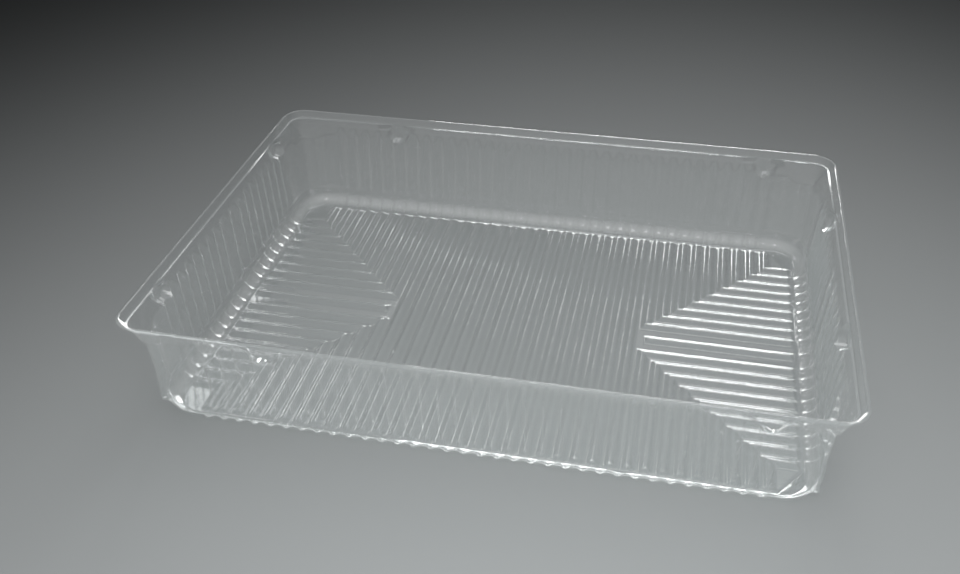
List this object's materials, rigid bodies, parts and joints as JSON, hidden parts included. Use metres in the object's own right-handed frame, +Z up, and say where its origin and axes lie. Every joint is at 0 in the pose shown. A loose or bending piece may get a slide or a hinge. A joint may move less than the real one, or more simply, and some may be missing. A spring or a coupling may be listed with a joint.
{
  "type": "clear thermoformed food tray",
  "caption": "Shallow rectangular clear plastic tray with fluted walls, a ribbed floor, corner pockets and stacking lugs under a leaning lip.",
  "frame": {"origin": "middle of the tray's footprint on the surface it rests on", "axes": "+X along the length, +Y across the width, +Z up out of the open side"},
  "size_m": [0.21, 0.148, 0.038],
  "materials": {
    "clear_film": "clear, glossy, thin drawn film"
  },
  "bodies": {
    "root": {"tray": "clear_film"}
  },
  "joints": []
}
